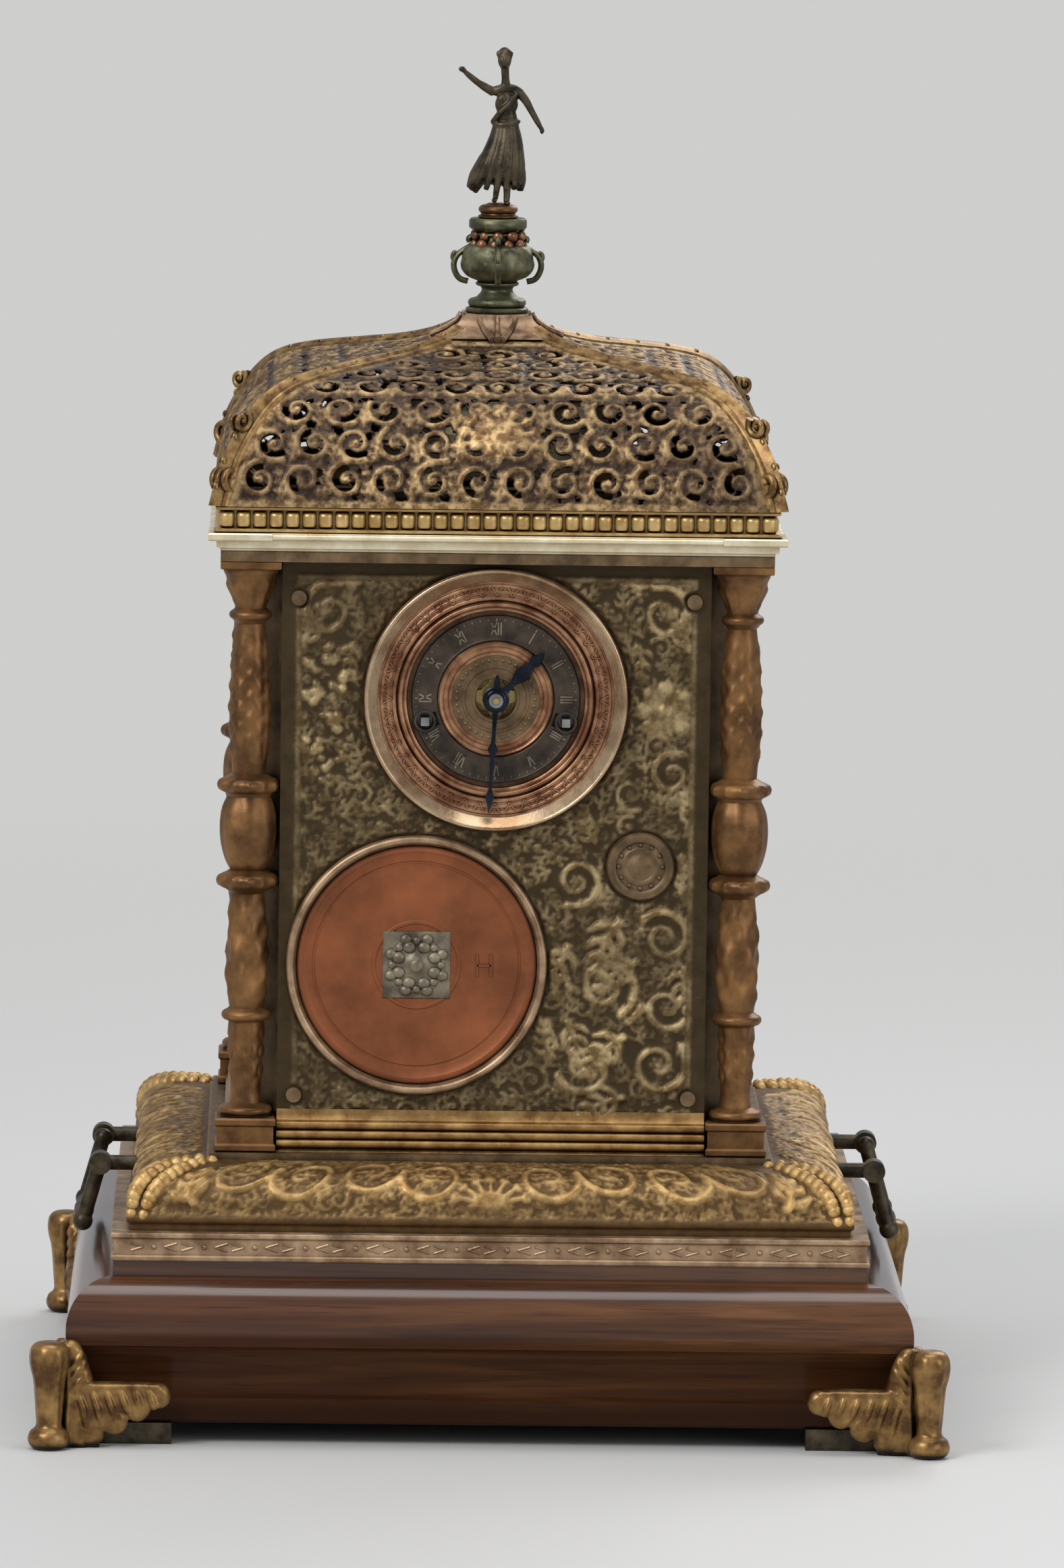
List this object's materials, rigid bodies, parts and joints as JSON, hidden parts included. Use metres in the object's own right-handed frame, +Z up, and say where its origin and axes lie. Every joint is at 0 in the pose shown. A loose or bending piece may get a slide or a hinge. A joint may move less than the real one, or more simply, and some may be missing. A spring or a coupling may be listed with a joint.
{
  "type": "table clock",
  "caption": "Square brass table clock with corner columns, two dials, pierced dome over a bell, figure finial and a moulded wooden plinth on cast feet.",
  "frame": {"origin": "middle of the footprint, in the plane of the feet", "axes": "+Z up, -Y out of the dials, +X to the right when the dials are faced"},
  "size_m": [0.361, 0.361, 0.541],
  "materials": {
    "wood": "polished red-brown mahogany",
    "gilt_brass": "cast and gilt, worn",
    "old_brass": "aged cast brass",
    "green_bronze": "dark green-brown patina with rubbed relief",
    "copper": "copper-red gilt, worn",
    "dark_ring": "tarnished silvering",
    "grey_metal": "dull silvered",
    "dark_bronze": "dark bronze patina",
    "verdigris": "green patina",
    "blued_steel": "blued",
    "steel": "bright steel",
    "bell_metal": "turned bell metal",
    "clock_brass": "polished clock brass"
  },
  "bodies": {
    "case": {"plinth_rails": "wood", "plinth_block": "wood", "corner_feet": "gilt_brass", "foot_screws": "steel", "brass_fillet": "old_brass", "base_skirt": "gilt_brass", "handle_posts": "dark_bronze", "case_floor": "old_brass", "corner_posts": "old_brass", "case_screws": "steel", "foot_moulding": "gilt_brass", "corner_columns": "old_brass", "front_plate": "green_bronze", "side_panels": "green_bronze", "back_frame": "green_bronze", "case_roof": "old_brass", "cornice": "gilt_brass", "upper_dial_ring": "copper", "chapter_ring": "dark_ring", "dial_centre": "copper", "lower_dial_rim": "old_brass", "medallion": "copper", "bell": "bell_metal", "bell_standard": "steel", "movement_front_plate": "clock_brass", "movement_back_plate": "clock_brass", "movement_pillars": "clock_brass"},
    "dome": {"gadroon_band": "old_brass", "dome_panels": "old_brass", "dome_ribs": "gilt_brass", "finial_urn": "verdigris", "finial_figure": "dark_bronze"},
    "left_handle": {"left_handle": "dark_bronze"},
    "right_handle": {"right_handle": "dark_bronze"},
    "door": {"back_door": "green_bronze"},
    "door_knob": {"door_knob": "gilt_brass"},
    "minute": {"centre_wheel": "clock_brass", "minute_hand": "blued_steel", "hand_nut": "steel"},
    "hour": {"hour_wheel": "clock_brass", "hour_hand": "blued_steel"},
    "minute_wheel": {"minute_wheel": "clock_brass"},
    "third": {"third_wheel": "clock_brass"},
    "fourth": {"fourth_wheel": "clock_brass"},
    "escape": {"escape_wheel": "clock_brass"},
    "going_barrel": {"going_barrel": "clock_brass", "going_mainspring": "steel"},
    "going_arbor": {"going_arbor": "steel"},
    "going_click": {"going_click": "steel"},
    "strike_barrel": {"strike_barrel": "clock_brass", "strike_mainspring": "steel"},
    "strike_arbor": {"strike_arbor": "steel"},
    "strike_click": {"strike_click": "steel"},
    "pin_wheel": {"pin_wheel": "clock_brass"},
    "fly": {"fly": "clock_brass"},
    "anchor": {"anchor": "steel"},
    "pendulum": {"pendulum": "clock_brass"},
    "hammer": {"bell_hammer": "steel"},
    "calendar": {"calendar_disc": "copper", "calendar_boss": "grey_metal"}
  },
  "joints": [
    {"name": "minute_turn", "type": "hinge", "parent": "case", "child": "minute", "pos_m": [0, -0.08, 0.289], "axis": [0, 1, 0], "continuous": true},
    {"name": "hour_turn", "type": "hinge", "parent": "case", "child": "hour", "pos_m": [0, -0.095, 0.289], "axis": [0, 1, 0], "continuous": true},
    {"name": "minute_wheel_turn", "type": "hinge", "parent": "case", "child": "minute_wheel", "pos_m": [0, -0.089, 0.3034], "axis": [0, 1, 0], "continuous": true},
    {"name": "going_barrel_turn", "type": "hinge", "parent": "case", "child": "going_barrel", "pos_m": [0.0278, -0.066, 0.2799], "axis": [0, 1, 0], "continuous": true},
    {"name": "third_turn", "type": "hinge", "parent": "case", "child": "third", "pos_m": [-0.0135, -0.066, 0.30509], "axis": [0, 1, 0], "continuous": true},
    {"name": "fourth_turn", "type": "hinge", "parent": "case", "child": "fourth", "pos_m": [-0.01458, -0.066, 0.32305], "axis": [0, 1, 0], "continuous": true},
    {"name": "escape_turn", "type": "hinge", "parent": "case", "child": "escape", "pos_m": [0, -0.066, 0.316], "axis": [0, 1, 0], "continuous": true},
    {"name": "strike_barrel_turn", "type": "hinge", "parent": "case", "child": "strike_barrel", "pos_m": [-0.0278, -0.066, 0.2799], "axis": [0, 1, 0], "continuous": true},
    {"name": "pin_wheel_turn", "type": "hinge", "parent": "case", "child": "pin_wheel", "pos_m": [-0.00107, -0.066, 0.26803], "axis": [0, 1, 0], "continuous": true},
    {"name": "fly_turn", "type": "hinge", "parent": "case", "child": "fly", "pos_m": [-0.00107, -0.066, 0.25003], "axis": [0, 1, 0], "continuous": true},
    {"name": "going_winding", "type": "hinge", "parent": "case", "child": "going_arbor", "pos_m": [0.0278, -0.066, 0.2799], "axis": [0, 1, 0], "continuous": true},
    {"name": "strike_winding", "type": "hinge", "parent": "case", "child": "strike_arbor", "pos_m": [-0.0278, -0.066, 0.2799], "axis": [0, 1, 0], "continuous": true},
    {"name": "going_click_swing", "type": "hinge", "parent": "case", "child": "going_click", "pos_m": [0.0373, -0.0885, 0.2859], "axis": [0, 1, 0], "range_deg": [0, 20]},
    {"name": "strike_click_swing", "type": "hinge", "parent": "case", "child": "strike_click", "pos_m": [-0.0373, -0.0885, 0.2859], "axis": [0, 1, 0], "range_deg": [-20, 0]},
    {"name": "pendulum_swing", "type": "hinge", "parent": "case", "child": "pendulum", "pos_m": [0, -0.0358, 0.331], "axis": [0, 1, 0], "range_deg": [-4, 4]},
    {"name": "anchor_swing", "type": "hinge", "parent": "case", "child": "anchor", "pos_m": [0, -0.066, 0.331], "axis": [0, 1, 0], "range_deg": [-4, 4]},
    {"name": "hammer_swing", "type": "hinge", "parent": "case", "child": "hammer", "pos_m": [0.056, -0.066, 0.259], "axis": [0, 1, 0], "range_deg": [0, 8], "stiffness_Nm_per_rad": 0.05, "springref_deg": -11.46},
    {"name": "left_handle_swing", "type": "hinge", "parent": "case", "child": "left_handle", "pos_m": [-0.155, 0, 0.094], "axis": [0, 1, 0], "range_deg": [0, 115]},
    {"name": "right_handle_swing", "type": "hinge", "parent": "case", "child": "right_handle", "pos_m": [0.155, 0, 0.094], "axis": [0, -1, 0], "range_deg": [0, 115]},
    {"name": "door_swing", "type": "hinge", "parent": "case", "child": "door", "pos_m": [-0.078, 0.1019, 0.2289], "axis": [0, 0, 1], "range_deg": [0, 100]},
    {"name": "knob_turn", "type": "hinge", "parent": "door", "child": "door_knob", "pos_m": [0.062, 0.102, 0.22885], "axis": [0, 1, 0], "range_deg": [-90, 0]},
    {"name": "calendar_turn", "type": "hinge", "parent": "case", "child": "calendar", "pos_m": [-0.03, -0.1, 0.183], "axis": [0, 1, 0], "continuous": true},
    {"name": "dome_lift", "type": "slide", "parent": "case", "child": "dome", "axis": [0, 0, 1], "range_m": [0, 0.08]}
  ],
  "couplings": [
    {"joint": "hour_turn", "follows": "minute_turn", "ratio": 0.083333},
    {"joint": "minute_wheel_turn", "follows": "minute_turn", "ratio": -0.33333},
    {"joint": "going_barrel_turn", "follows": "minute_turn", "ratio": -0.14286},
    {"joint": "third_turn", "follows": "minute_turn", "ratio": -6},
    {"joint": "fourth_turn", "follows": "minute_turn", "ratio": 30},
    {"joint": "escape_turn", "follows": "minute_turn", "ratio": -150},
    {"joint": "pin_wheel_turn", "follows": "strike_barrel_turn", "ratio": -7},
    {"joint": "fly_turn", "follows": "strike_barrel_turn", "ratio": 35},
    {"joint": "anchor_swing", "follows": "pendulum_swing", "ratio": 1}
  ]
}
